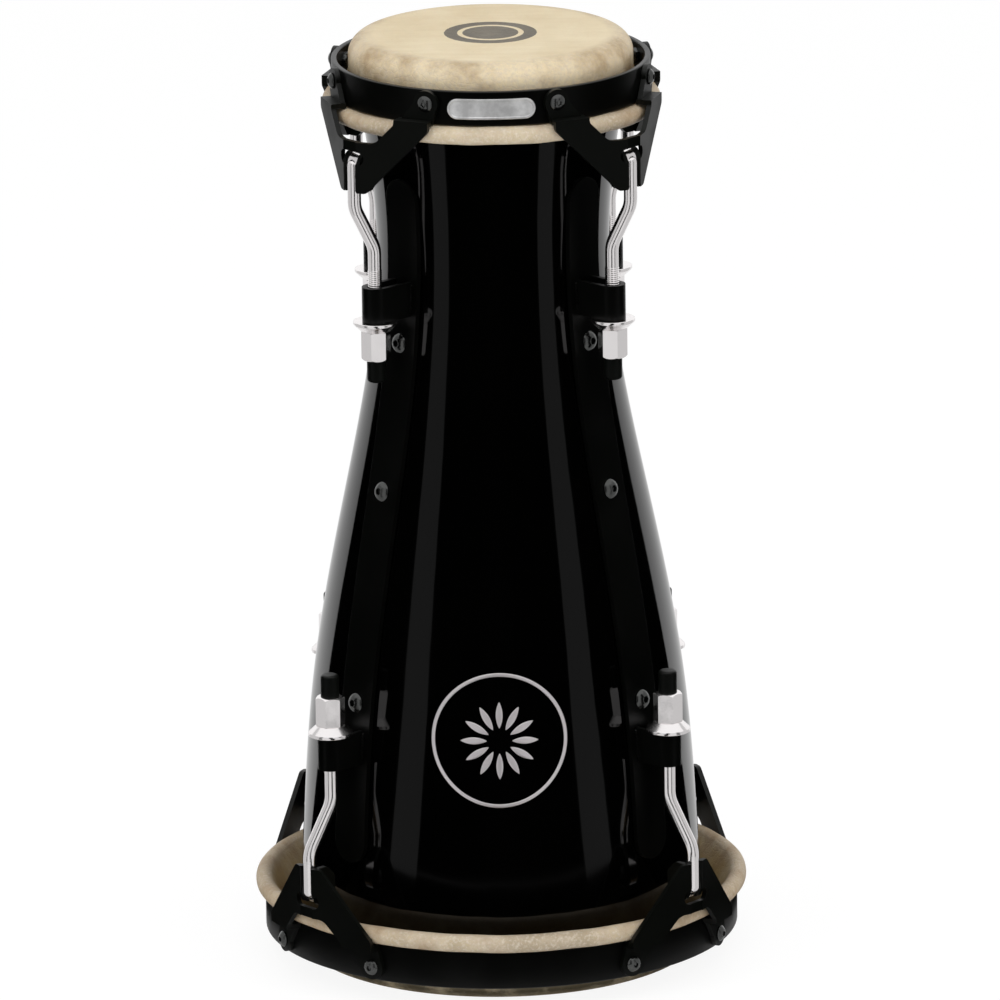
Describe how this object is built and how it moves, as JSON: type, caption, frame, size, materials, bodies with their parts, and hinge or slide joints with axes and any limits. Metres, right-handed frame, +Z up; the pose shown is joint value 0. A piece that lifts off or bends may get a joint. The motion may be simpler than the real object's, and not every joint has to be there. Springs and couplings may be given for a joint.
{
  "type": "bata drum",
  "caption": "Hourglass hand drum with a skin head at each end, each held by a steel hoop with V brackets and tuning rods that pull towards the waist.",
  "frame": {"origin": "centre of the larger head's face, on which the drum stands", "axes": "+Z up the drum's axis to the smaller head, -Y the front, where the blank plate sits on the upper hoop"},
  "size_m": [0.2994, 0.2994, 0.57],
  "materials": {
    "shell_black": "deep gloss black gel coat on glass fibre",
    "skin": "cream hide, matte, mottled",
    "flesh_hoop_steel": "plain steel rod, hidden in the hide",
    "hoop_black": "satin black powder coat",
    "bracket_black": "semi-gloss black powder coat",
    "fixing_black": "black plated, semi-gloss",
    "rod_chrome": "polished chrome",
    "nut_chrome": "polished chrome",
    "washer_chrome": "polished chrome",
    "cap_black": "black, satin",
    "lug_black": "satin black powder coat",
    "plate_black": "semi-gloss black powder coat",
    "inside_steel": "zinc plated",
    "badge_silver": "satin silver, blank"
  },
  "bodies": {
    "drum": {"shell": "shell_black", "top_skin": "skin", "bottom_skin": "skin", "top_flesh_hoop": "flesh_hoop_steel", "bottom_flesh_hoop": "flesh_hoop_steel", "side_plate_1": "plate_black", "side_plate_2": "plate_black", "side_plate_3": "plate_black", "side_plate_4": "plate_black", "top_lug_1": "lug_black", "top_lug_2": "lug_black", "top_lug_3": "lug_black", "top_lug_4": "lug_black", "bottom_lug_1": "lug_black", "bottom_lug_2": "lug_black", "bottom_lug_3": "lug_black", "bottom_lug_4": "lug_black", "tuning_washers": "washer_chrome", "plate_bolts": "fixing_black", "plate_nuts": "inside_steel"},
    "top_hoop_assembly": {"top_hoop": "hoop_black", "top_bracket_1": "bracket_black", "top_bracket_2": "bracket_black", "top_bracket_3": "bracket_black", "top_bracket_4": "bracket_black", "top_rod_1": "rod_chrome", "top_rod_2": "rod_chrome", "top_rod_3": "rod_chrome", "top_rod_4": "rod_chrome", "top_hoop_screws": "fixing_black", "top_bracket_pins": "fixing_black", "badge_plate": "badge_silver"},
    "bottom_hoop_assembly": {"bottom_hoop": "hoop_black", "bottom_bracket_1": "bracket_black", "bottom_bracket_2": "bracket_black", "bottom_bracket_3": "bracket_black", "bottom_bracket_4": "bracket_black", "bottom_rod_1": "rod_chrome", "bottom_rod_2": "rod_chrome", "bottom_rod_3": "rod_chrome", "bottom_rod_4": "rod_chrome", "bottom_hoop_screws": "fixing_black", "bottom_bracket_pins": "fixing_black"},
    "top_tuner_1": {"top_nut_1": "nut_chrome", "top_cap_1": "cap_black"},
    "top_tuner_2": {"top_nut_2": "nut_chrome", "top_cap_2": "cap_black"},
    "top_tuner_3": {"top_nut_3": "nut_chrome", "top_cap_3": "cap_black"},
    "top_tuner_4": {"top_nut_4": "nut_chrome", "top_cap_4": "cap_black"},
    "bottom_tuner_1": {"bottom_nut_1": "nut_chrome", "bottom_cap_1": "cap_black"},
    "bottom_tuner_2": {"bottom_nut_2": "nut_chrome", "bottom_cap_2": "cap_black"},
    "bottom_tuner_3": {"bottom_nut_3": "nut_chrome", "bottom_cap_3": "cap_black"},
    "bottom_tuner_4": {"bottom_nut_4": "nut_chrome", "bottom_cap_4": "cap_black"}
  },
  "joints": [
    {"name": "top_hoop_slide", "type": "slide", "parent": "drum", "child": "top_hoop_assembly", "axis": [0, 0, 1], "range_m": [0, 0.006]},
    {"name": "top_nut_turn_1", "type": "hinge", "parent": "drum", "child": "top_tuner_1", "pos_m": [0.07089, -0.06339, 0.3936], "axis": [0, 0, 1], "range_deg": [-1728, 0]},
    {"name": "top_nut_turn_2", "type": "hinge", "parent": "drum", "child": "top_tuner_2", "pos_m": [0.07089, 0.06339, 0.3936], "axis": [0, 0, 1], "range_deg": [-1728, 0]},
    {"name": "top_nut_turn_3", "type": "hinge", "parent": "drum", "child": "top_tuner_3", "pos_m": [-0.07089, 0.06339, 0.3936], "axis": [0, 0, 1], "range_deg": [-1728, 0]},
    {"name": "top_nut_turn_4", "type": "hinge", "parent": "drum", "child": "top_tuner_4", "pos_m": [-0.07089, -0.06339, 0.3936], "axis": [0, 0, 1], "range_deg": [-1728, 0]},
    {"name": "bottom_hoop_slide", "type": "slide", "parent": "drum", "child": "bottom_hoop_assembly", "axis": [0, 0, -1], "range_m": [0, 0.006]},
    {"name": "bottom_nut_turn_1", "type": "hinge", "parent": "drum", "child": "bottom_tuner_1", "pos_m": [0.10153, -0.09078, 0.1744], "axis": [0, 0, 1], "range_deg": [0, 1728]},
    {"name": "bottom_nut_turn_2", "type": "hinge", "parent": "drum", "child": "bottom_tuner_2", "pos_m": [0.10153, 0.09078, 0.1744], "axis": [0, 0, 1], "range_deg": [0, 1728]},
    {"name": "bottom_nut_turn_3", "type": "hinge", "parent": "drum", "child": "bottom_tuner_3", "pos_m": [-0.10153, 0.09078, 0.1744], "axis": [0, 0, 1], "range_deg": [0, 1728]},
    {"name": "bottom_nut_turn_4", "type": "hinge", "parent": "drum", "child": "bottom_tuner_4", "pos_m": [-0.10153, -0.09078, 0.1744], "axis": [0, 0, 1], "range_deg": [0, 1728]}
  ],
  "couplings": [
    {"joint": "top_nut_turn_1", "follows": "top_hoop_slide", "rad_per_m": -5026.5},
    {"joint": "top_nut_turn_2", "follows": "top_hoop_slide", "rad_per_m": -5026.5},
    {"joint": "top_nut_turn_3", "follows": "top_hoop_slide", "rad_per_m": -5026.5},
    {"joint": "top_nut_turn_4", "follows": "top_hoop_slide", "rad_per_m": -5026.5},
    {"joint": "bottom_nut_turn_1", "follows": "bottom_hoop_slide", "rad_per_m": 5026.5},
    {"joint": "bottom_nut_turn_2", "follows": "bottom_hoop_slide", "rad_per_m": 5026.5},
    {"joint": "bottom_nut_turn_3", "follows": "bottom_hoop_slide", "rad_per_m": 5026.5},
    {"joint": "bottom_nut_turn_4", "follows": "bottom_hoop_slide", "rad_per_m": 5026.5}
  ]
}
